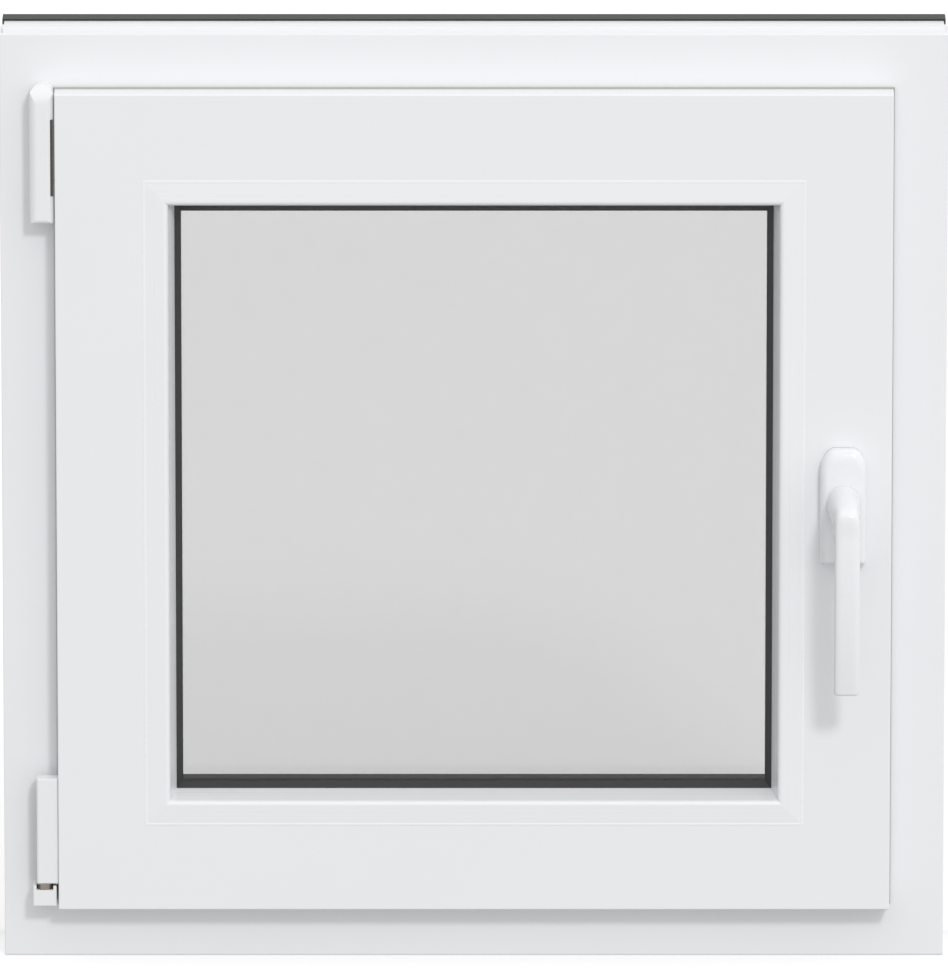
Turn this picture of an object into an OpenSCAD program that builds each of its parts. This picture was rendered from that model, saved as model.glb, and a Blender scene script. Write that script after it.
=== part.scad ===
/* [Window] */
// Overall width of the frame
window_w = 600; // [480:10:1400]
// Overall height of the frame
window_h = 600; // [560:10:1500]

/* [Frame profile] */
// Depth of the frame, room face to weather face
frame_depth = 70; // [66:1:82]
// Width of the frame up to its rebate
frame_step_w = 43; // [40:1:60]
// How far the outer leg covers the gap round the sash
frame_leg_w = 24; // [20:1:26]
// Outer wall of every hollow profile
wall_t = 2.8; // [2.2:0.1:3]
// Web between two chambers
web_t = 1.4; // [1:0.1:1.8]
// Radius of the visible edges
edge_r = 0.8; // [0.6:0.1:1.6]

/* [Sash profile] */
// Depth of the sash
sash_depth = 70; // [68:1:74]
// How far the sash stands in front of the frame
sash_proud = 21; // [19:1:22]
// How far the sash lip lies over the frame
sash_overlap = 8; // [6:0.5:9]
// Clearance in the rebate round the sash
rebate_gap = 12; // [11:0.5:13]
// Width of the sash face, outer edge to bead
sash_face_w = 55.4; // [50:0.2:66]
// Height of the sash's outer leg over its glazing rebate
sash_leg_h = 19; // [17:0.5:21]

/* [Glass and bead] */
// Thickness of each pane
pane_t = 4; // [3:0.5:6]
// Gap between the panes
pane_gap = 16; // [12:1:18]
// Height of the edge spacer with its sealant
spacer_h = 12.5; // [10:0.5:14]
// Gap between the glass edge and the rebate
glass_gap = 5.6; // [4:0.2:7]
// Width of the bead
bead_w = 19.8; // [18:0.2:22]
// Width of the bead's nearly flat face
bead_face_w = 13.3; // [11:0.1:15]

/* [Seals] */
// Squeezed height of the seal under the sash lip
lip_seal_t = 3; // [2:0.5:4]
// Squeezed height of the seal on the frame's leg
stop_seal_t = 4; // [3:0.5:5]
// Thickness of the glazing gasket on the weather side
outer_gasket_t = 4; // [3:0.5:5]
// Thickness of the glazing gasket under the bead
inner_gasket_t = 3.7; // [3:0.1:5]

/* [Weather cover] */
// Sheet thickness of the dark cover
cover_t = 2; // [1.5:0.1:2.5]
// How far the cover wraps round the outer edge
cover_wrap = 17.4; // [14:0.2:20]

/* [Hinges] */
// Length of the upper hinge cover
top_cover_l = 89; // [80:1:110]
// Width of the upper hinge cover
top_cover_w = 15.6; // [12:0.2:16.4]
// Distance of the upper cover's middle below the sash's top edge
top_cover_drop = 39.5; // [39:0.5:60]
// Length of the sash cover over the lower hinge
low_cover_l = 68.8; // [60:0.2:90]
// Width of the sash cover over the lower hinge
low_cover_w = 13.8; // [11:0.2:14.2]
// Thickness of the sash cover over the lower hinge
low_cover_t = 10.8; // [10:0.2:13]
// Height of the lower pivot block
pivot_h = 10.7; // [9:0.1:14]
// Width of the lower pivot block
pivot_w = 15; // [13:0.5:16]
// How far the hinge covers stand out from the frame
hinge_proud = 19.4; // [17:0.2:22]
// Diameter of the hinge pin's shank
hinge_pin_d = 5; // [4:0.5:6]
// Diameter of the hinge pin's collar between cover and block
hinge_collar_d = 10.2; // [8:0.2:11]

/* [Handle] */
// Distance of the handle's axis from the sash edge
handle_inset = 30.8; // [27:0.2:33]
// Width of the rosette
rosette_w = 29.5; // [27:0.5:32]
// Height of the rosette
rosette_h = 75; // [68:0.5:80]
// Thickness of the rosette
rosette_t = 11; // [9:0.5:13]
// Diameter of the lever's neck
neck_d = 22; // [19:0.5:24]
// Width of the grip
grip_w = 16; // [14:0.5:20]
// Length of the lever from its axis to its end
lever_l = 113; // [100:1:130]
// How far the lever stands out from the sash
lever_proud = 58; // [54:1:64]
// Thickness of the grip
grip_t = 11; // [9:0.5:12]

/* [Hidden] */
$fn = 48;

// Colours
upvc = "#f1f2f3";
cover_grey = "#565754";
rubber_black = "#212121";
seal_grey = "#c3c3c2";
pane_clear = "#d9dddc";
steel_bright = "#b9b9b4";

// Shared clearances and cutting overrun
overrun = 1;
fit_gap = 0.3;

// Profiles are drawn with x as the distance in from the frame's outer edge
// and y as the depth behind the frame's room face.
sash_u = frame_step_w - sash_overlap;
sash_body_u = frame_step_w + rebate_gap;
sash_face_d = -sash_proud;
sash_back_d = sash_face_d + sash_depth;
leg_face_d = sash_back_d + stop_seal_t;
frame_leg_u = frame_step_w + frame_leg_w;
bead_u = sash_u + sash_face_w;
rebate_u = bead_u;
bead_end_u = bead_u + bead_w;
sash_leg_u = rebate_u + sash_leg_h;
glass_u = rebate_u + glass_gap;

// Glass unit, seated on the gasket of the sash's outer leg
sash_leg_t = 19;
glass_back_d = sash_back_d - sash_leg_t - outer_gasket_t;
weather_pane_d = glass_back_d - pane_t;
spacer_d = weather_pane_d - pane_gap;
room_pane_d = spacer_d - pane_t;
bead_back_d = room_pane_d - inner_gasket_t;

// Outer edge of the frame: lip, grooves and middle rib
lip_d = 4;
groove_deep = 1.8;
rib_d = 25.5;
rib_t = 6;
rib_mid_d = rib_d + rib_t / 2;
cover_recess = 0.5;
cover_start_d = frame_depth - cover_wrap;

// The sash leg's weather side slopes towards the glass
leg_slope = 5;
bead_tilt = 0.8;
bead_shoulder_r = 3;
gasket_lip = 4.2;
gasket_reach = 4.1;
gasket_root = 7;
lip_seal_w = 6;
lip_seal_out = 1;
stop_seal_w = 7;
foot_w = 3;
foot_deep = 1.6;
hook_from = 6;
hook_w = 3.5;
hook_deep = 1.2;
hardware_groove_d = 4;
hardware_groove_w = 16;
hardware_groove_deep = 3;
striker_groove_d = 20;
striker_groove_w = 12;
striker_groove_deep = 1.5;
corner_reach = 130;
chamber_gap = 0.01;

// Chambers, as shares of the depth inside the walls
frame_chamber_shares = [0, 0.2, 0.76, 1];
sash_chamber_shares = [0, 0.62, 1];

// Drain slots in the sill
slot_l = 28;
slot_h = 5;
slot_share = 0.27;
slot_u = frame_step_w / 2;

// Setting blocks under and beside the glass
packer_l = 60;
packer_share = 0.22;

// Hinge places, from the sash's edges
slot_top_l = 49.4;
slot_top_w = 1.7;
slot_below = 1.8;
slot_wall_w = 0.7;
slot_wall_deep = 6;
arm_inset = 1.4;
arm_t = 5;
shoulder_h = 2.6;
low_cover_lift = 16.6;
pin_gap = 4.1;
cap_side_r = 12;
cap_front_r = 4.8;
cap_foot_r = 3;

// Handle details
rosette_r = 10;
rosette_arch = 16;
rosette_foot_r = 3;
rosette_bevel = 2.8;
neck_rise = 3.6;
spindle_w = 7;
neck_l = 12;
grip_r = 2.4;
grip_bow = 4;
grip_parts = 5;
grip_facets = 16;
elbow_facets = 32;
elbow_t = 3.6;
grip_shift = 1.6;
lever_gap = fit_gap;
spindle_hole_d = 12;
spindle_deep = 18;

half_w = window_w / 2;
half_h = window_h / 2;
mid_y = rib_mid_d;
top_cover_z = half_h - sash_u - top_cover_drop;
handle_x = half_w - sash_u - handle_inset;
rosette_y = sash_face_d - rosette_t - mid_y;
top_edge_x = -half_w + sash_u - fit_gap;
top_slot_x = top_edge_x - slot_wall_w - slot_top_w;
top_slot_z = half_h + top_cover_z - slot_below - slot_top_l / 2;
top_arm_y = -hinge_proud + slot_wall_deep - mid_y;
low_cover_z = sash_u + low_cover_lift;
low_cover_x = -half_w + sash_u - low_cover_w / 2;
low_pin_x = -half_w + sash_u - pivot_w / 2 - lip_seal_out - fit_gap;
low_pin_y = -hinge_proud + hinge_collar_d / 2 + fit_gap - mid_y;
pivot_z = low_cover_z - pin_gap - pivot_h;

// Sides of the window: turn about the depth axis, side length, distance of the side from the middle
SILL = [0, window_w, half_h];
HEAD = [180, window_w, half_h];
HINGE = [90, window_h, half_w];
LOCK = [-90, window_h, half_w];
ALL_SIDES = [SILL, HEAD, HINGE, LOCK];

// Points on an arc, both ends included
function arc(centre, r, from, to, steps = 6) =
    [for (i = [0 : steps])
        let (a = from + (to - from) * i / steps)
        [centre.x + r * cos(a), centre.y + r * sin(a)]];

// Places the children so that z is up from the side's outer edge and y is the depth
module on_side(side) {
    translate([0, -mid_y, half_h])
        rotate([0, side[0], 0])
            translate([0, 0, -side[2]])
                children();
}

// A profile run along one side and mitred at both ends
module mitred(side) {
    length = side[1];
    end = length / 2 + overrun;
    top = length / 2 - corner_reach;
    on_side(side)
        intersection() {
            rotate([0, -90, 0])
                linear_extrude(length + overrun * 2, center = true)
                    children();
            translate([0, frame_depth * 2, 0])
                rotate([90, 0, 0])
                    linear_extrude(frame_depth * 4)
                        polygon([[-end, -overrun], [end, -overrun], [top, corner_reach], [-top, corner_reach]]);
        }
}

// A flat ring between two distances from the outer edge, over a range of depth
module ring_plate(from_u, to_u, from_d, to_d) {
    translate([0, to_d - mid_y, half_h])
        rotate([90, 0, 0])
            linear_extrude(to_d - from_d)
                difference() {
                    square([window_w - from_u * 2, window_h - from_u * 2], center = true);
                    square([window_w - to_u * 2, window_h - to_u * 2], center = true);
                }
}

// Chambers between two walls, split by webs at shares of their depth
module chambers(u0, u1, d0, d1, shares) {
    depth = d1 - d0;
    last = len(shares) - 1;
    for (i = [0 : last - 1]) {
        low = d0 + depth * shares[i] + (i > 0 ? web_t / 2 : 0);
        high = d0 + depth * shares[i + 1] - (i < last - 1 ? web_t / 2 : 0);
        translate([u0, low])
            square([u1 - u0, high - low]);
    }
}

// Frame section: L-shaped, with a grooved outer edge
module frame_section() {
    cover_u = cover_recess + cover_t;
    back_d = frame_depth - cover_t;
    difference() {
        polygon(concat(
            arc([edge_r, edge_r], edge_r, 180, 270),
            arc([frame_step_w - edge_r, edge_r], edge_r, 270, 360),
            [
                [frame_step_w, leg_face_d],
                [frame_leg_u - cover_t, leg_face_d],
                [frame_leg_u - cover_t, back_d],
                [cover_u, back_d],
                [cover_u, cover_start_d],
                [groove_deep, cover_start_d],
                [groove_deep, rib_d + rib_t],
                [0, rib_d + rib_t],
                [0, rib_d],
                [groove_deep, rib_d],
                [groove_deep, lip_d],
                [0, lip_d]
            ]
        ));
        chambers(groove_deep + wall_t, frame_step_w - wall_t, wall_t, back_d - wall_t, frame_chamber_shares);
        translate([frame_step_w - wall_t + web_t, leg_face_d + wall_t])
            square([frame_leg_w - cover_t - web_t, back_d - leg_face_d - wall_t * 2]);
        translate([frame_step_w - striker_groove_deep, striker_groove_d])
            square([striker_groove_deep + overrun, striker_groove_w]);
        stop_seal_foot();
    }
}

// Dark cover over the frame's weather face and round its two edges
module frame_cover_section() {
    inside_d = min(cover_start_d, leg_face_d) - overrun;
    difference() {
        polygon(concat(
            [[cover_recess, cover_start_d], [cover_recess + cover_t, cover_start_d]],
            [[frame_leg_u - cover_t, leg_face_d + wall_t], [frame_leg_u, leg_face_d + wall_t]],
            arc([frame_leg_u - edge_r, frame_depth - edge_r], edge_r, 0, 90),
            arc([cover_recess + edge_r, frame_depth - edge_r], edge_r, 90, 180)
        ));
        translate([cover_recess + cover_t, inside_d])
            square([frame_leg_u - cover_recess - cover_t * 2, frame_depth - cover_t - inside_d]);
    }
}

// The foot that holds each seal in its groove
module seal_foot(u, d) {
    translate([u - foot_w / 2, d])
        square([foot_w, foot_deep]);
}

module stop_seal_foot() {
    seal_foot(frame_leg_u - cover_t - stop_seal_w / 2, leg_face_d);
}

module lip_seal_foot() {
    seal_foot(sash_u + lip_seal_w / 2, -lip_seal_t - foot_deep);
}

module weather_gasket_foot() {
    seal_foot(sash_leg_u - gasket_root / 2, sash_back_d - sash_leg_t);
}

// Sash section: room face with its lip, hollow body with the hardware groove, and outer leg
module sash_section() {
    lip_back_d = -lip_seal_t;
    back_d = sash_back_d - cover_t;
    leg_d = sash_back_d - sash_leg_t;
    front_d = lip_back_d - wall_t - web_t;
    difference() {
        polygon(concat(
            arc([sash_u + edge_r, sash_face_d + edge_r], edge_r, 180, 270),
            [
                [rebate_u, sash_face_d],
                [rebate_u, leg_d],
                [sash_leg_u, leg_d],
                [sash_leg_u - leg_slope, back_d],
                [sash_body_u, back_d],
                [sash_body_u, lip_back_d],
                [sash_u, lip_back_d]
            ]
        ));
        translate([sash_u + wall_t, sash_face_d + wall_t])
            square([sash_body_u - sash_u - wall_t, lip_back_d - sash_face_d - wall_t * 2]);
        translate([sash_body_u + web_t, sash_face_d + wall_t])
            square([rebate_u - wall_t - sash_body_u - web_t, front_d + wall_t - sash_face_d - wall_t]);
        chambers(
            sash_body_u + hardware_groove_deep + wall_t, rebate_u - wall_t,
            front_d + wall_t + web_t, back_d - wall_t, sash_chamber_shares
        );
        translate([sash_body_u - overrun, hardware_groove_d])
            square([hardware_groove_deep + overrun, hardware_groove_w]);
        translate([rebate_u - hook_deep - fit_gap, sash_face_d + hook_from - fit_gap])
            square([hook_deep + fit_gap + overrun, hook_w + fit_gap * 2]);
        lip_seal_foot();
        weather_gasket_foot();
        translate([rebate_u - wall_t + web_t, leg_d + wall_t])
            square([sash_leg_h - leg_slope - web_t, back_d - leg_d - wall_t * 2]);
    }
}

// Dark cover on the sash's weather side, with a sloped edge towards the glass
module sash_cover_section() {
    leg_d = sash_back_d - sash_leg_t;
    back_d = sash_back_d - cover_t;
    polygon([
        [sash_body_u + cover_t, back_d],
        [sash_leg_u - leg_slope, back_d],
        [sash_leg_u, leg_d],
        [sash_leg_u + cover_t, leg_d],
        [sash_leg_u + cover_t - leg_slope, sash_back_d],
        [sash_body_u + cover_t, sash_back_d]
    ]);
}

// Bead section: face tilted out to its knee, rounded shoulder, straight slope to the glass
module bead_section() {
    knee_u = bead_u + bead_face_w;
    knee_d = sash_face_d - bead_tilt;
    side_w = bead_w - bead_face_w;
    side_d = bead_back_d - knee_d;
    turn = 90 - atan((side_w - bead_shoulder_r) / (side_d - bead_shoulder_r));
    steps = 10;
    bead_wall = web_t;
    difference() {
        polygon(concat(
            [
                [bead_u, bead_back_d],
                [bead_u, sash_face_d + hook_from + hook_w],
                [bead_u - hook_deep, sash_face_d + hook_from + hook_w],
                [bead_u - hook_deep, sash_face_d + hook_from],
                [bead_u, sash_face_d + hook_from],
                [bead_u, sash_face_d]
            ],
            [for (i = [0 : steps])
                let (a = turn * i / steps)
                [knee_u + bead_shoulder_r * sin(a), knee_d + bead_shoulder_r * (1 - cos(a))]],
            [[bead_end_u, bead_back_d]]
        ));
        polygon([
            [bead_u + bead_wall, bead_back_d - bead_wall],
            [bead_u + bead_wall, sash_face_d + bead_wall],
            [knee_u, sash_face_d + bead_wall],
            [knee_u + side_w / 2, sash_face_d + side_d / 2],
            [knee_u + side_w / 2, bead_back_d - bead_wall]
        ]);
    }
}

// Black wedge between the bead and the glass
module room_gasket_section() {
    root_u = bead_end_u - gasket_root;
    polygon([
        [root_u, bead_back_d],
        [bead_end_u, bead_back_d],
        [bead_end_u + gasket_lip, room_pane_d],
        [root_u, room_pane_d]
    ]);
}

// Black gasket between the glass and the sash's outer leg
module weather_gasket_section() {
    leg_d = sash_back_d - sash_leg_t;
    root_u = sash_leg_u - gasket_root;
    union() {
        polygon([
            [root_u, glass_back_d],
            [sash_leg_u + gasket_reach, glass_back_d],
            [sash_leg_u + cover_t / 2, leg_d],
            [root_u, leg_d]
        ]);
        weather_gasket_foot();
    }
}

// Seal under the sash lip, its nose just outside the lip's edge
module lip_seal_section() {
    mid_d = -lip_seal_t / 2;
    union() {
        polygon([
            [sash_u + lip_seal_w, -lip_seal_t],
            [sash_u + lip_seal_w, 0],
            [sash_u, 0],
            [sash_u - lip_seal_out, mid_d],
            [sash_u, -lip_seal_t]
        ]);
        lip_seal_foot();
    }
}

// Seal on the frame's leg that the closed sash presses
module stop_seal_section() {
    root_u = frame_leg_u - cover_t - stop_seal_w;
    union() {
        polygon([
            [root_u, leg_face_d],
            [root_u, sash_back_d],
            [root_u + stop_seal_w / 2, sash_back_d],
            [root_u + stop_seal_w, leg_face_d]
        ]);
        stop_seal_foot();
    }
}

// A rectangle with round corners, centred
module round_rect(w, h, r) {
    union() {
        square([w - r * 2, h], center = true);
        square([w, h - r * 2], center = true);
        for (x = [-1, 1])
            for (y = [-1, 1])
                translate([x * (w / 2 - r), y * (h / 2 - r)])
                    circle(r);
    }
}

// A drain slot's outline, centred
module slot_shape() {
    round_rect(slot_l, slot_h, slot_h / 2 - chamber_gap);
}

// Drain slots through the sill, cut from its weather side
module drain_slots(from_d) {
    on_side(SILL)
        for (x = [-1, 1])
            translate([x * window_w * slot_share, frame_depth + overrun, slot_u])
                rotate([90, 0, 0])
                    linear_extrude(frame_depth + overrun - from_d)
                        slot_shape();
}

module frame_member(side) {
    color(upvc)
        mitred(side)
            frame_section();
}

module frame_cover(side) {
    color(cover_grey)
        mitred(side)
            frame_cover_section();
}

module sash_member(side) {
    color(upvc)
        mitred(side)
            sash_section();
}

module sash_cover(side) {
    color(cover_grey)
        mitred(side)
            sash_cover_section();
}

module bead(side) {
    color(upvc)
        mitred(side)
            bead_section();
}

// The lock stile has a hole through its room wall for the handle's spindle
module sash_lock_stile() {
    color(upvc)
        difference() {
            sash_member(LOCK);
            translate([handle_x, sash_face_d + spindle_deep + overrun - mid_y, half_h])
                rotate([90, 0, 0])
                    cylinder(d = spindle_hole_d, h = spindle_deep + overrun * 2);
        }
}

module frame_head() {
    frame_member(HEAD);
}

module frame_sill() {
    color(upvc)
        difference() {
            frame_member(SILL);
            drain_slots(frame_depth - cover_t - wall_t - overrun);
        }
}

module frame_cover_sill() {
    color(cover_grey)
        difference() {
            frame_cover(SILL);
            drain_slots(frame_depth - cover_t - overrun);
        }
}

module glass_pane(front_d) {
    color(pane_clear)
        translate([0, front_d + pane_t - mid_y, half_h])
            rotate([90, 0, 0])
                linear_extrude(pane_t)
                    square([window_w - glass_u * 2, window_h - glass_u * 2], center = true);
}

module glass_spacer() {
    color(rubber_black)
        ring_plate(glass_u, glass_u + spacer_h, spacer_d, weather_pane_d);
}

// Blocks that carry and centre the glass in its rebate
module glazing_packers() {
    color(rubber_black)
        for (side = ALL_SIDES)
            on_side(side)
                for (x = [-1, 1])
                    translate([x * side[1] * packer_share - packer_l / 2, room_pane_d, rebate_u])
                        cube([packer_l, glass_back_d - room_pane_d, glass_gap]);
}

module sealing_ring() {
    color(rubber_black)
        union()
            for (side = ALL_SIDES)
                mitred(side)
                    children();
}

module glazing_gasket_room() {
    sealing_ring()
        room_gasket_section();
}

module glazing_gasket_weather() {
    sealing_ring()
        weather_gasket_section();
}

module sash_lip_seal() {
    color(seal_grey)
        union()
            for (side = ALL_SIDES)
                mitred(side)
                    lip_seal_section();
}

module frame_stop_seal() {
    sealing_ring()
        stop_seal_section();
}

// A block rounded three ways: its section in front, its ends seen from the room, and its
// ends seen from the side. x across, y from the back at zero out to the room, z up, centred
module round_cap(w, proud, l, front_r, end_r, side_r) {
    intersection() {
        linear_extrude(l, center = true)
            round_rect(w, proud * 2, front_r);
        rotate([90, 0, 0])
            linear_extrude(proud)
                round_rect(w, l, end_r);
        rotate([90, 0, 90])
            linear_extrude(w + overrun, center = true)
                round_rect(proud * 2, l, side_r);
    }
}

// Upper hinge: cover on the frame's hinge jamb, domed at its top, slotted for the arm
module top_hinge_cover() {
    end_r = top_cover_w / 2 - chamber_gap;
    relief_t = lip_seal_t + fit_gap;
    color(upvc)
        difference() {
            translate([top_edge_x - top_cover_w / 2, -mid_y, half_h + top_cover_z])
                union() {
                    round_cap(top_cover_w, hinge_proud, top_cover_l, cap_front_r, end_r, cap_side_r);
                    translate([0, 0, -top_cover_l / 4])
                        round_cap(top_cover_w, hinge_proud, top_cover_l / 2, cap_front_r, cap_foot_r, cap_foot_r);
                }
            translate([top_slot_x, -hinge_proud - overrun - mid_y, top_slot_z])
                cube([slot_top_w, hinge_proud + overrun * 2, slot_top_l]);
            translate([top_slot_x, top_arm_y, top_slot_z])
                cube([slot_top_w + slot_wall_w + overrun, arm_t, slot_top_l]);
            translate([top_edge_x - lip_seal_out, -relief_t - mid_y, half_h + top_cover_z - top_cover_l])
                cube([lip_seal_out + overrun, relief_t + overrun, top_cover_l * 2]);
        }
}

// Dark steel arm: a blade in the cover's slot and a foot under its edge to the sash
module top_hinge_arm() {
    color(cover_grey)
        union() {
            translate([top_slot_x, top_arm_y - slot_wall_deep + arm_inset, top_slot_z])
                cube([slot_top_w, slot_wall_deep + arm_t - arm_inset, slot_top_l]);
            translate([top_slot_x, top_arm_y, top_slot_z])
                cube([slot_top_w + slot_wall_w + fit_gap, arm_t, slot_top_l]);
        }
}

// Lower hinge: cover on the sash's corner band, clear of the frame by the lip seal
module low_hinge_cover() {
    back = hinge_proud - low_cover_t;
    color(upvc)
        difference() {
            translate([low_cover_x, -back - mid_y, low_cover_z + low_cover_l / 2])
                round_cap(low_cover_w, low_cover_t, low_cover_l, edge_r * 2, edge_r, edge_r);
            translate([low_pin_x, low_pin_y, low_cover_z - overrun])
                cylinder(d = hinge_pin_d + fit_gap * 2, h = low_cover_l / 2 + overrun);
        }
}

// Pivot block of the lower hinge, fixed to the frame, with two shoulders beside the collar
module low_hinge_pivot() {
    pocket = hinge_collar_d + fit_gap * 2;
    tall = pivot_h + shoulder_h;
    color(upvc)
        difference() {
            translate([low_pin_x, -mid_y, pivot_z + tall / 2])
                round_cap(pivot_w, hinge_proud, tall, edge_r, edge_r, edge_r);
            translate([low_pin_x - pocket / 2, -hinge_proud - overrun - mid_y, pivot_z + pivot_h])
                cube([pocket, pocket + overrun, shoulder_h + overrun]);
            translate([low_pin_x, low_pin_y, pivot_z + pivot_h / 2])
                cylinder(d = hinge_pin_d, h = pivot_h);
        }
}

// Pin of the lower hinge, with the collar that carries the sash
module low_hinge_pin() {
    color(steel_bright)
        translate([low_pin_x, low_pin_y, pivot_z + pivot_h / 2])
            union() {
                cylinder(d = hinge_pin_d, h = pivot_h / 2 + pin_gap + low_cover_l / 2 - fit_gap);
                translate([0, 0, pivot_h / 2])
                    cylinder(d = hinge_collar_d, h = pin_gap);
            }
}

// Outline of the rosette: arched at the top, nearly square at the foot
module rosette_outline(inset) {
    side = rosette_w / 2 - inset;
    end = rosette_h / 2 - inset;
    top_r = rosette_r - inset;
    top_arch = rosette_arch - inset;
    hull()
        for (x = [-1, 1]) {
            translate([x * (side - top_r), end - top_arch])
                scale([1, top_arch / top_r])
                    circle(top_r);
            translate([x * (side - rosette_foot_r), rosette_foot_r - end])
                circle(rosette_foot_r);
        }
}

// Rosette on the sash: arched plate with a bevelled front edge
module handle_rosette() {
    flat_t = rosette_t - rosette_bevel;
    color(upvc)
        difference() {
            translate([handle_x, sash_face_d - mid_y, half_h])
                rotate([90, 0, 0])
                    hull() {
                        linear_extrude(flat_t)
                            rosette_outline(0);
                        linear_extrude(rosette_t)
                            rosette_outline(rosette_bevel);
                    }
            translate([handle_x, sash_face_d - mid_y + overrun, half_h])
                rotate([90, 0, 0])
                    cylinder(d = spindle_hole_d, h = rosette_t + overrun * 2);
        }
}

// One slice across the grip, lying across the arm
module grip_slice(share) {
    drop = (lever_l - grip_r) * share;
    back = grip_bow * share * share;
    scale_w = grip_w / 2 - grip_r;
    scale_t = grip_t / 2 - grip_r;
    for (x = [-1, 1])
        for (y = [-1, 1])
            translate([x * scale_w, back + y * scale_t, -drop])
                sphere(grip_r, $fn = grip_facets);
}

// Neck of the lever, a little taller than wide
module neck(from_y, l) {
    hull()
        for (rise = [0, neck_rise])
            translate([handle_x, from_y, half_h + rise])
                rotate([90, 0, 0])
                    cylinder(d = neck_d, h = l);
}

// Lever: neck that turns into a slightly bowed grip hanging down
module handle_lever() {
    neck_y = rosette_y - lever_gap;
    front_y = sash_face_d - lever_proud - mid_y;
    grip_y = front_y + grip_t / 2;
    grip_x = handle_x + grip_shift;
    color(upvc)
        union() {
            neck(neck_y, neck_l + fit_gap);
            hull() {
                neck(neck_y - neck_l, neck_l);
                translate([grip_x, grip_y, half_h])
                    grip_slice(0);
                translate([grip_x, grip_y, half_h])
                    rotate([90, 0, 0])
                        cylinder(d = grip_w, h = elbow_t, $fn = elbow_facets);
            }
            for (i = [0 : grip_parts - 1])
                hull()
                    translate([grip_x, grip_y, half_h]) {
                        grip_slice(i / grip_parts);
                        grip_slice((i + 1) / grip_parts);
                    }
        }
}

// Square spindle from the lever into the lock's place in the sash
module handle_spindle() {
    color(steel_bright)
        translate([handle_x - spindle_w / 2, rosette_y - lever_gap, half_h - spindle_w / 2])
            cube([spindle_w, lever_gap + rosette_t + spindle_deep, spindle_w]);
}

frame_head();
frame_sill();
frame_member(HINGE);  // frame_hinge_jamb
frame_member(LOCK);  // frame_lock_jamb
frame_cover(HEAD);  // frame_cover_head
frame_cover_sill();
frame_cover(HINGE);  // frame_cover_hinge_jamb
frame_cover(LOCK);  // frame_cover_lock_jamb
sash_member(HEAD);  // sash_top_rail
sash_member(SILL);  // sash_bottom_rail
sash_member(HINGE);  // sash_hinge_stile
sash_lock_stile();
sash_cover(HEAD);  // sash_cover_top_rail
sash_cover(SILL);  // sash_cover_bottom_rail
sash_cover(HINGE);  // sash_cover_hinge_stile
sash_cover(LOCK);  // sash_cover_lock_stile
bead(HEAD);  // bead_top
bead(SILL);  // bead_bottom
bead(HINGE);  // bead_hinge_side
bead(LOCK);  // bead_lock_side
glass_pane(room_pane_d);  // glass_room_pane
glass_pane(weather_pane_d);  // glass_weather_pane
glass_spacer();
glazing_packers();
glazing_gasket_room();
glazing_gasket_weather();
sash_lip_seal();
frame_stop_seal();
top_hinge_cover();
top_hinge_arm();
low_hinge_cover();
low_hinge_pin();
low_hinge_pivot();
handle_rosette();
handle_lever();
handle_spindle();
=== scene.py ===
import math

import bmesh
import bpy
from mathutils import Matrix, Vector


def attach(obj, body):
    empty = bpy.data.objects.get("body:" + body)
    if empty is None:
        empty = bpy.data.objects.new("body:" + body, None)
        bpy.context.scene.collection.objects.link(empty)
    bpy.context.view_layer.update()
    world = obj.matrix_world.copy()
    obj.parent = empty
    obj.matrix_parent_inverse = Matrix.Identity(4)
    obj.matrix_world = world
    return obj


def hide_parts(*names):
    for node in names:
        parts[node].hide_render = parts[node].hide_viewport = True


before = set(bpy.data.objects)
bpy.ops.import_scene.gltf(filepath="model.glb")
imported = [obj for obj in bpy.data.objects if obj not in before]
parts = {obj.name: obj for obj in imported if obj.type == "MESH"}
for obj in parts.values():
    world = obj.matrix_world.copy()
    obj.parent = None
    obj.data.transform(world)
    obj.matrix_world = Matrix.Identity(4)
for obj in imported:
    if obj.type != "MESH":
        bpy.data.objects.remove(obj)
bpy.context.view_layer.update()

mm = 0.001


# colour and node helpers
def hexColour(text):
    # sRGB hex to linear
    values = [int(text[i:i + 2], 16) / 255 for i in (0, 2, 4)]
    return (*[v / 12.92 if v <= 0.04045 else ((v + 0.055) / 1.055) ** 2.4 for v in values], 1.0)


def addNode(tree, kind, inputs=None, **settings):
    node = tree.nodes.new(kind)
    for name, value in settings.items():
        setattr(node, name, value)
    for socket, value in (inputs or {}).items():
        if isinstance(value, bpy.types.NodeSocket):
            tree.links.new(value, node.inputs[socket])
        else:
            node.inputs[socket].default_value = value
    return node


def newMaterial(name, colour, **sockets):
    # empty material with one Principled shader
    material = bpy.data.materials.new(name)
    material.use_nodes = True
    tree = material.node_tree
    tree.nodes.clear()
    inputs = {"Base Color": hexColour(colour)}
    inputs.update({key.replace("_", " "): value for key, value in sockets.items()})
    shader = addNode(tree, "ShaderNodeBsdfPrincipled", inputs)
    addNode(tree, "ShaderNodeOutputMaterial", {"Surface": shader.outputs["BSDF"]})
    return material, tree, shader


def blendColours(tree, factor, low, high):
    # colour that runs from low to high with the factor
    ramp = addNode(tree, "ShaderNodeValToRGB", {"Fac": factor})
    ramp.color_ramp.elements[0].color = hexColour(low)
    ramp.color_ramp.elements[1].color = hexColour(high)
    return ramp.outputs["Color"]


def objectNoise(tree, periods, detail=2.0, roughness=0.5):
    # noise in object space, periods in mm along x, y and z
    place = addNode(tree, "ShaderNodeTexCoord")
    scaled = addNode(tree, "ShaderNodeMapping", {
        "Vector": place.outputs["Object"],
        "Scale": tuple(1 / (p * mm) for p in periods),
    })
    noise = addNode(tree, "ShaderNodeTexNoise", {
        "Vector": scaled.outputs["Vector"], "Scale": 1.0, "Detail": detail, "Roughness": roughness,
    })
    return noise.outputs["Fac"]


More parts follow.
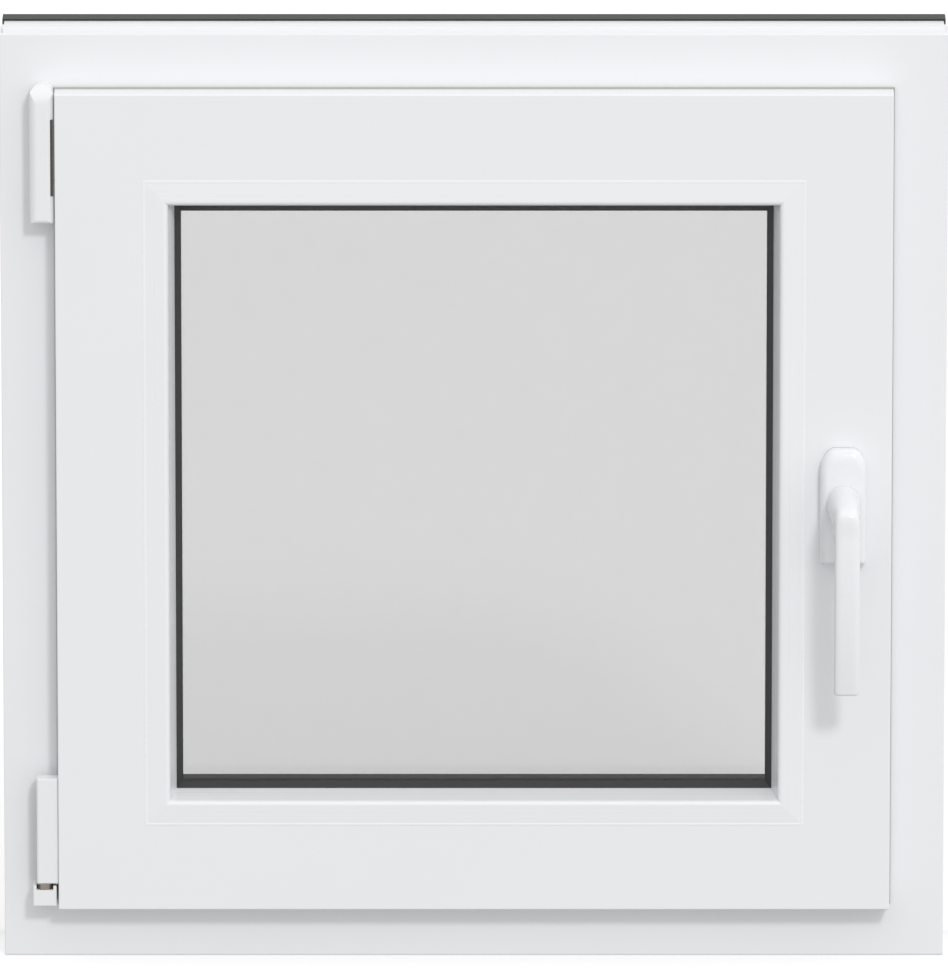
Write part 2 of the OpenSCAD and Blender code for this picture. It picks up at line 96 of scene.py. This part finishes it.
def remap(tree, value, low, high):
    return addNode(tree, "ShaderNodeMapRange", {
        "Value": value, "From Min": 0.3, "From Max": 0.7, "To Min": low, "To Max": high,
    }).outputs["Result"]


def addBump(tree, shader, height, depth, strength=1.0):
    bump = addNode(tree, "ShaderNodeBump", {
        "Height": height, "Distance": depth * mm, "Strength": strength,
    })
    tree.links.new(bump.outputs["Normal"], shader.inputs["Normal"])


# rigid PVC-U, extruded and calibrated: satin white, faint die lines along the bar
upvcLook = {
    "white": "f0f1f3",
    "whiteShade": "eeeff1",
    "roughness": (0.30, 0.40),
    "ior": 1.53,
    "dieLine": 1.6,  # mm between die lines
    "lineDepth": 0.004,  # mm
    "run": 900,  # mm, the lines run on along the bar
    "cloud": 90,  # mm, soft patches in the white
}


def extrudedUpvc(name, along, look):
    periods = [look["dieLine"]] * 3
    periods[along] = look["run"]
    material, tree, shader = newMaterial(name, look["white"], IOR=look["ior"])
    lines = objectNoise(tree, periods, 1.0)
    cloud = objectNoise(tree, [look["cloud"]] * 3, 1.0)
    whites = blendColours(tree, cloud, look["whiteShade"], look["white"])
    tree.links.new(whites, shader.inputs["Base Color"])
    tree.links.new(remap(tree, lines, *look["roughness"]), shader.inputs["Roughness"])
    addBump(tree, shader, lines, look["lineDepth"])
    return material


# coextruded PVC bead: a shade lighter than the frame's white as painted light on the slopes; a little
# smoother since it is a thin clip-in strip
beadLook = dict(upvcLook, white="f1f2f4", whiteShade="eff0f2", roughness=(0.26, 0.36), dieLine=1.1)

# PVC lip along the bead, painted a lighter white as a painted highlight: a thin light line along the joint
lipHighlightLook = dict(beadLook, white="f4f6f7", whiteShade="f1f3f4", roughness=(0.26, 0.34))

# aluminium, extruded and powder coated in a fine-texture dark grey: dull with a tiny grain
coverLook = {
    "grey": "2d2e2e",
    "greyShade": "292a2a",
    "roughness": (0.5, 0.62),
    "ior": 1.5,
    "grain": 0.7,  # mm, the coat's grit is nearer 0.1 and wouldn't show
    "depth": 0.02,
}


def powderCoatedAluminium(name, look):
    material, tree, shader = newMaterial(name, look["grey"], IOR=look["ior"])
    grit = objectNoise(tree, [look["grain"]] * 3, 3.0)
    greys = blendColours(tree, grit, look["greyShade"], look["grey"])
    tree.links.new(greys, shader.inputs["Base Color"])
    tree.links.new(remap(tree, grit, *look["roughness"]), shader.inputs["Roughness"])
    addBump(tree, shader, grit, look["depth"])
    return material


# EPDM rubber, extruded and vulcanised: matt near-black with a slight bloom
epdmLook = {
    "dark": "272729", "bloom": "303032", "roughness": (0.42, 0.55), "ior": 1.52,
    "grain": 1.2, "depth": 0.015,  # mm
}

# soft PVC seal, extruded: warm mid grey, matt
softSealLook = dict(epdmLook, dark="a6a5a0", bloom="b0afaa", roughness=(0.55, 0.7), depth=0.01)


def mattSkin(name, look):
    material, tree, shader = newMaterial(name, look["dark"], IOR=look["ior"])
    skin = objectNoise(tree, [look["grain"]] * 3, 2.0)
    tree.links.new(blendColours(tree, skin, look["dark"], look["bloom"]), shader.inputs["Base Color"])
    tree.links.new(remap(tree, skin, *look["roughness"]), shader.inputs["Roughness"])
    addBump(tree, shader, skin, look["depth"])
    return material


# ABS, injection moulded against a lightly polished tool: smooth, glossier than the frame
mouldedLook = {
    "white": "eff0f1", "shade": "ecedee", "roughness": (0.16, 0.24), "ior": 1.5,
    "grain": 2.5, "depth": 0.004,  # mm
}

# zinc alloy, pressure die cast and powder coated white: glossy with a soft orange peel
castLook = {
    "white": "eff1f3", "shade": "eceef0", "roughness": (0.14, 0.2), "ior": 1.5,
    "grain": 2.2, "depth": 0.006,  # mm
}


def glossyWhite(name, look):
    material, tree, shader = newMaterial(name, look["white"], IOR=look["ior"])
    peel = objectNoise(tree, [look["grain"]] * 3, 1.0)
    tree.links.new(blendColours(tree, peel, look["shade"], look["white"]), shader.inputs["Base Color"])
    tree.links.new(remap(tree, peel, *look["roughness"]), shader.inputs["Roughness"])
    addBump(tree, shader, peel, look["depth"])
    return material


# steel: zinc plated and black passivated for the hinge, turned for its pin and painted darker there
# as painted shade of the dark gap it stands in, bright drawn for the spindle
hingeSteelLook = {
    "dark": "474540", "light": "55534e", "roughness": (0.24, 0.34),
    "grain": 1.5, "depth": 0.003,  # mm
}
# pin: darker steel tones are painted shade of the gap between cover and block
pinSteelShadeLook = dict(hingeSteelLook, dark="7f7b74", light="928d85", roughness=(0.1, 0.16))
brightSteelLook = dict(hingeSteelLook, dark="c9cacb", light="dadbdc", roughness=(0.16, 0.24))


def steel(name, look):
    material, tree, shader = newMaterial(name, look["light"], Metallic=1.0)
    patch = objectNoise(tree, [look["grain"]] * 3, 3.0)
    tree.links.new(blendColours(tree, patch, look["dark"], look["light"]), shader.inputs["Base Color"])
    tree.links.new(remap(tree, patch, *look["roughness"]), shader.inputs["Roughness"])
    addBump(tree, shader, patch, look["depth"])
    return material


# float glass with a low-emission coat: clear, faintly grey, dead flat
glassLook = {"tint": "e3e3e3", "ior": 1.52, "roughness": 0.0}


def floatGlass(name, look):
    material, tree, shader = newMaterial(
        name, look["tint"], IOR=look["ior"], Roughness=look["roughness"], Transmission_Weight=1.0)
    return material


# polypropylene warm-edge spacer with a foil back, extruded: black with rows of breathing holes
spacerLook = {
    "grey": "2e3031", "hole": "151617", "roughness": 0.5, "ior": 1.49,
    "pitch": 3.2,  # mm between holes
    "holeShares": (0.16, 0.2),  # of the pitch, where a hole's edge starts and ends
}


def perforatedSpacer(name, look):
    material, tree, shader = newMaterial(name, look["grey"], IOR=look["ior"], Roughness=look["roughness"])
    edgeStart, edgeEnd = look["holeShares"]
    place = addNode(tree, "ShaderNodeTexCoord")
    scaled = addNode(tree, "ShaderNodeMapping", {
        "Vector": place.outputs["Object"], "Scale": (1 / (look["pitch"] * mm),) * 3})
    cells = addNode(tree, "ShaderNodeTexVoronoi", {
        "Vector": scaled.outputs["Vector"], "Scale": 1.0, "Randomness": 0.0})
    dots = addNode(tree, "ShaderNodeMapRange", {
        "Value": cells.outputs["Distance"], "From Min": edgeStart, "From Max": edgeEnd,
        "To Min": 0.0, "To Max": 1.0})
    tones = blendColours(tree, dots.outputs["Result"], look["hole"], look["grey"])
    tree.links.new(tones, shader.inputs["Base Color"])
    return material


# hard PVC glazing packer, injection moulded: plain mid grey-blue
packerLook = dict(epdmLook, dark="5b6f80", bloom="647889", roughness=(0.4, 0.5), grain=3.0, depth=0.01)

lyingUpvc = extrudedUpvc("upvcExtrudedLying", 0, upvcLook)
standingUpvc = extrudedUpvc("upvcExtrudedStanding", 2, upvcLook)
lyingBead = extrudedUpvc("upvcBeadLying", 0, beadLook)
standingBead = extrudedUpvc("upvcBeadStanding", 2, beadLook)
# the lip's lighter white is a painted highlight along the bead joint
lipPaintedHighlight = extrudedUpvc("upvcLipPaintedHighlight", 0, lipHighlightLook)
coatedCover = powderCoatedAluminium("aluminiumPowderCoated", coverLook)
epdmRubber = mattSkin("epdmExtruded", epdmLook)
greySeal = mattSkin("softPvcSeal", softSealLook)
packerPlastic = mattSkin("packerPvc", packerLook)
mouldedAbs = glossyWhite("absMoulded", mouldedLook)
castWhite = glossyWhite("zincDieCastCoated", castLook)
hingeSteel = steel("steelBlackPassivated", hingeSteelLook)
pinSteelPaintedShade = steel("steelTurnedPaintedShade", pinSteelShadeLook)
brightSteel = steel("steelBrightDrawn", brightSteelLook)
paneGlass = floatGlass("floatGlass", glassLook)
spacerPlastic = perforatedSpacer("spacerPolypropylene", spacerLook)
print("materials ready")

# which finish each CAD part wears
finishes = {
    lyingUpvc: ("frame_head", "frame_sill", "sash_top_rail", "sash_bottom_rail"),
    standingUpvc: ("frame_hinge_jamb", "frame_lock_jamb", "sash_hinge_stile", "sash_lock_stile"),
    lyingBead: ("bead_top", "bead_bottom"),
    standingBead: ("bead_hinge_side", "bead_lock_side"),
    coatedCover: (
        "frame_cover_head", "frame_cover_sill", "frame_cover_hinge_jamb", "frame_cover_lock_jamb",
        "sash_cover_top_rail", "sash_cover_bottom_rail", "sash_cover_hinge_stile", "sash_cover_lock_stile"),
    paneGlass: ("glass_room_pane", "glass_weather_pane"),
    spacerPlastic: ("glass_spacer",),
    packerPlastic: ("glazing_packers",),
    epdmRubber: ("glazing_gasket_room", "glazing_gasket_weather", "frame_stop_seal"),
    greySeal: ("sash_lip_seal",),
    mouldedAbs: ("top_hinge_cover", "low_hinge_cover", "low_hinge_pivot"),
    hingeSteel: ("top_hinge_arm",),
    pinSteelPaintedShade: ("low_hinge_pin",),
    brightSteel: ("handle_spindle",),
    castWhite: ("handle_rosette", "handle_lever"),
}
for finish, names in finishes.items():
    for name in names:
        for holder in parts[name].material_slots:
            holder.material = finish
print("CAD parts finished")


# pieces built in mesh code
def spline(rows, steps):
    # Catmull-Rom through rows of numbers
    made = []
    for i in range(len(rows) - 1):
        a, b, c, d = (rows[max(0, min(len(rows) - 1, i + k))] for k in (-1, 0, 1, 2))
        for s in range(steps):
            t = s / steps
            made.append([
                0.5 * (2 * q + (r - p) * t
                       + (2 * p - 5 * q + 4 * r - u) * t * t
                       + (3 * q - p - 3 * r + u) * t ** 3)
                for p, q, r, u in zip(a, b, c, d)])
    made.append(list(rows[-1]))
    return made


def meshPiece(name, made, material):
    # object from a finished bmesh
    bmesh.ops.recalc_face_normals(made, faces=made.faces)
    mesh = bpy.data.meshes.new(name)
    made.to_mesh(mesh)
    made.free()
    mesh.materials.append(material)
    piece = bpy.data.objects.new(name, mesh)
    bpy.context.collection.objects.link(piece)
    return piece


def loftRings(name, rings, material):
    # closed skin over rings of points, capped at both ends
    skin = bmesh.new()
    loops = [[skin.verts.new(point) for point in ring] for ring in rings]
    for low, high in zip(loops, loops[1:]):
        for i in range(len(low)):
            j = (i + 1) % len(low)
            skin.faces.new((low[i], low[j], high[j], high[i]))
    skin.faces.new(list(reversed(loops[0])))
    skin.faces.new(loops[-1])
    for face in skin.faces:
        face.smooth = len(face.verts) == 4
    return meshPiece(name, skin, material)


# lip: the low ridge where the bead meets the sash face
lipShape = {
    "half": 209.6,  # mm, window's middle to the joint
    "middle": 300.0,
    "face": -49.5,  # sash face in the row's y
    "section": [  # mm in from the joint, and out from the sash face
        (-0.15, 0.0), (0.05, 0.13), (0.5, 0.2), (1.1, 0.22), (1.5, 0.1), (1.5, -0.3), (-0.15, -0.3),
    ],
}


def buildLip(look):
    # mitred ring of one small section
    ridge = bmesh.new()
    corners = ((1, 1), (-1, 1), (-1, -1), (1, -1))
    loops = []
    for inset, out in look["section"]:
        reach = look["half"] - inset
        loops.append([
            ridge.verts.new(Vector((x * reach, look["face"] - out, look["middle"] + z * reach)) * mm)
            for x, z in corners])
    for low, high in zip(loops, loops[1:] + loops[:1]):
        for i in range(len(corners)):
            j = (i + 1) % len(corners)
            ridge.faces.new((low[i], low[j], high[j], high[i]))
    return meshPiece("bead_lip", ridge, lipPaintedHighlight)


lip = buildLip(lipShape)
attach(lip, "window")
print("bead lip modelled")

# lever: rows are outer depth and height, inner depth and height, half width, squareness, side shift
leverShape = {
    "axis": (234.2, 300.0),  # mm, x and z of the spindle
    "middle": 28.5,  # mm, frame face to the row's origin
    "points": 64,
    "steps": 4,
    "rows": [
        (-32.3, 14.4, -32.3, -9.2, 11.0, 2.1, 0.0),
        (-33.4, 13.9, -33.4, -8.7, 10.6, 2.1, 0.0),
        (-42.0, 13.5, -42.0, -8.4, 10.3, 2.2, 0.0),
        (-54.0, 12.6, -51.0, -8.8, 9.8, 2.4, 0.3),
        (-65.0, 11.0, -57.6, -10.2, 9.2, 2.7, 0.7),
        (-72.4, 9.2, -62.0, -13.0, 8.7, 3.0, 1.0),
        (-76.6, 6.6, -65.0, -17.0, 8.4, 3.3, 1.3),
        (-78.2, 2.6, -67.0, -22.5, 8.1, 3.6, 1.5),
    ],
    "gripEnd": 113.0,
    "gripHeights": (8.0, 18.0, 32.0, 46.0, 60.0, 74.0, 88.0, 101.0),
    "gripFront": -79.0,
    "gripHalf": 8.0,
    "gripThick": 11.0,
    "bow": 7.0,  # how far the end falls back behind the fullest place
    "bowFrom": 36.0,
    "endRound": 1.8,
    "endShares": (0.25, 0.5, 0.75, 0.92, 1.0),  # of the quarter turn that rounds the end
    "gripShift": 1.6,
    "square": 3.8,
}


def leverRing(row, look):
    outerD, outerZ, innerD, innerZ, half, power, shift = row
    axisX, axisZ = look["axis"]
    centre = Vector((
        axisX + shift, (outerD + innerD) / 2 - look["middle"], axisZ + (outerZ + innerZ) / 2))
    across = Vector((0, (outerD - innerD) / 2, (outerZ - innerZ) / 2))
    ring = []
    for i in range(look["points"]):
        turn = 2 * math.pi * i / look["points"]
        c, s = math.cos(turn), math.sin(turn)
        x = half * math.copysign(abs(c) ** (2 / power), c)
        y = math.copysign(abs(s) ** (2 / power), s)
        ring.append((centre + Vector((x, 0, 0)) + across * y) * mm)
    return ring


def buildLever(look):
    rows = list(look["rows"])
    length = look["gripEnd"]
    for height in (*look["gripHeights"], length - look["endRound"]):
        reach = (height - look["bowFrom"]) / (length - look["bowFrom"])
        front = look["gripFront"] + look["bow"] * reach ** 2
        drop = max(0.0, look["gripHeights"][2] - height)  # the grip's back starts lower than its front
        rows.append((
            front, -height, front + look["gripThick"], -height - drop,
            look["gripHalf"], look["square"], look["gripShift"]))
    rings = [leverRing(row, look) for row in spline(rows, look["steps"])]
    last = rows[-1]
    for share in look["endShares"]:
        inset = look["endRound"] * (1 - math.cos(share * math.pi / 2))
        drop = look["endRound"] * math.sin(share * math.pi / 2)
        rings.append(leverRing((
            last[0] + inset, last[1] - drop, last[2] - inset, last[3] - drop,
            last[4] - inset, last[5], last[6]), look))
    return loftRings("lever_skin", rings, castWhite)


# rosette: a tall plate, arched at the top and nearly square at the foot, with a soft domed edge
rosetteShape = {
    "half": (14.75, 37.5),  # mm
    "archCorner": (9.6, 15.5),  # corner reach across and along
    "footCorner": (3.0, 3.0),
    "leastCorner": 1.2,
    "foot": -21.0,  # the sash face
    "spread": (0.55, 1.15, 0.4),  # share of the inset taken at the sides, the top and the foot
    "levels": [  # inset and rise
        (0.3, 0.0), (0.0, 0.35), (0.0, 6.6), (0.4, 7.7), (1.2, 8.7),
        (2.6, 9.6), (4.4, 10.35), (6.0, 10.8), (7.2, 10.97), (8.0, 11.0),
    ],
    "points": 16,
}


def rosetteRing(inset, height, look):
    axisX, axisZ = leverShape["axis"]
    y = look["foot"] - height - leverShape["middle"]
    ring = []
    for corner, (signX, signZ) in enumerate(((1, 1), (-1, 1), (-1, -1), (1, -1))):
        reach = look["archCorner"] if signZ > 0 else look["footCorner"]
        side, top, foot = (inset * share for share in look["spread"])
        end = top if signZ > 0 else foot
        cornerX = max(look["leastCorner"], reach[0] - side)
        cornerZ = max(look["leastCorner"], reach[1] - end)
        halfX, halfZ = look["half"][0] - side, look["half"][1] - end
        for i in range(look["points"] + 1):
            turn = (corner + i / look["points"]) * math.pi / 2
            ring.append(Vector((
                axisX + signX * (halfX - cornerX) + cornerX * math.cos(turn), y,
                axisZ + signZ * (halfZ - cornerZ) + cornerZ * math.sin(turn))) * mm)
    return ring


lever = buildLever(leverShape)
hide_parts("handle_lever")
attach(lever, "handle")

rosetteRings = [rosetteRing(inset, height, rosetteShape) for inset, height in rosetteShape["levels"]]
rosette = loftRings("rosette_skin", rosetteRings, castWhite)
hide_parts("handle_rosette")
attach(rosette, "window")
print("handle modelled")

# floor, light and camera
studio = {
    "floorRadius": 16.0,  # m
    "floorDrop": 0.0004,
    "floorColour": "cacaca",
    "floorTones": ("c9c9c9", "cbcbcb"),
    "floorCloud": 700,  # mm
    "floorGlow": 0.48,  # keeps the floor white where shadows fall
    "middle": (0.0, 0.0, 0.3),  # the window's, where the light is aimed
    "skyUp": 1.0,  # brightness overhead, level and underfoot
    "skyLevel": 0.768,
    "skyDown": 0.26,
    "skyRight": 0.14,  # added on the right, taken off on the left
    "keyPlace": (2.55, -9.0, 6.4),
    "keySize": 1.6,
    "keyWatts": 328.0,
}
white = hexColour("ffffff")

disc = bmesh.new()
bmesh.ops.create_circle(disc, cap_ends=True, segments=96, radius=studio["floorRadius"])

# painted studio floor: matt, pale, with a glow of its own
floorPaint, floorTree, floorShader = newMaterial(
    "studioFloorPaint", studio["floorColour"], Roughness=0.9, Emission_Strength=studio["floorGlow"],
    Emission_Color=white)
floorCloud = objectNoise(floorTree, [studio["floorCloud"]] * 3, 1.0)
floorTree.links.new(
    blendColours(floorTree, floorCloud, *studio["floorTones"]), floorShader.inputs["Base Color"])
floor = meshPiece("studio_floor", disc, floorPaint)
floor.location.z = -studio["floorDrop"]
floor.visible_diffuse = False  # the sky below the level lights undersides instead

# soft box all round: brightest overhead
world = bpy.data.worlds.new("studioWorld")
bpy.context.scene.world = world
world.use_nodes = True
skyTree = world.node_tree
skyPlace = addNode(skyTree, "ShaderNodeTexCoord")
skyParts = addNode(skyTree, "ShaderNodeSeparateXYZ", {"Vector": skyPlace.outputs["Generated"]})
skyRamp = addNode(skyTree, "ShaderNodeMapRange", {
    "Value": skyParts.outputs["Z"], "From Min": 0.0, "From Max": 1.0,
    "To Min": studio["skyLevel"], "To Max": studio["skyUp"]})
skyDrop = addNode(skyTree, "ShaderNodeMapRange", {
    "Value": skyParts.outputs["Z"], "From Min": -1.0, "From Max": 0.0,
    "To Min": studio["skyDown"] - studio["skyLevel"], "To Max": 0.0})
skySum = addNode(skyTree, "ShaderNodeMath", {
    0: skyRamp.outputs["Result"], 1: skyDrop.outputs["Result"]}, operation="ADD")
skyTilt = addNode(skyTree, "ShaderNodeMath", {
    0: skyParts.outputs["X"], 1: studio["skyRight"], 2: skySum.outputs["Value"]}, operation="MULTIPLY_ADD")
skyLight = skyTree.nodes["Background"]
skyLight.inputs["Color"].default_value = white
skyTree.links.new(skyTilt.outputs["Value"], skyLight.inputs["Strength"])


def areaLight(name, place, aim, size, watts):
    lamp = bpy.data.lights.new(name, "AREA")
    lamp.shape = "DISK"
    lamp.size = size
    lamp.energy = watts
    holder = bpy.data.objects.new(name, lamp)
    bpy.context.collection.objects.link(holder)
    holder.location = place
    holder.rotation_euler = (Vector(aim) - Vector(place)).to_track_quat("-Z", "Y").to_euler()
    holder.visible_camera = False


areaLight("keyLight", studio["keyPlace"], studio["middle"], studio["keySize"], studio["keyWatts"])

bpy.context.scene.view_settings.view_transform = "Standard"

shot = {
    "distance": 10.0,  # m
    "elevation": 12.6,  # degrees above the horizon
    "aim": (0.0, -0.035, 0.3095),
    "fit": 616.2,  # mm that the picture's width spans at the aim
    "sensor": 36,
    "clip": (0.1, 60),
}
lens = bpy.data.cameras.new("shotCamera")
lens.sensor_width = shot["sensor"]
lens.lens = shot["sensor"] * shot["distance"] / (shot["fit"] * mm)
lens.clip_start, lens.clip_end = shot["clip"]
camera = bpy.data.objects.new("shotCamera", lens)
bpy.context.collection.objects.link(camera)
rise = math.radians(shot["elevation"])
camera.location = Vector(shot["aim"]) + shot["distance"] * Vector((0, -math.cos(rise), math.sin(rise)))
camera.rotation_euler = (math.pi / 2 - rise, 0, 0)
bpy.context.scene.camera = camera
print("studio ready")
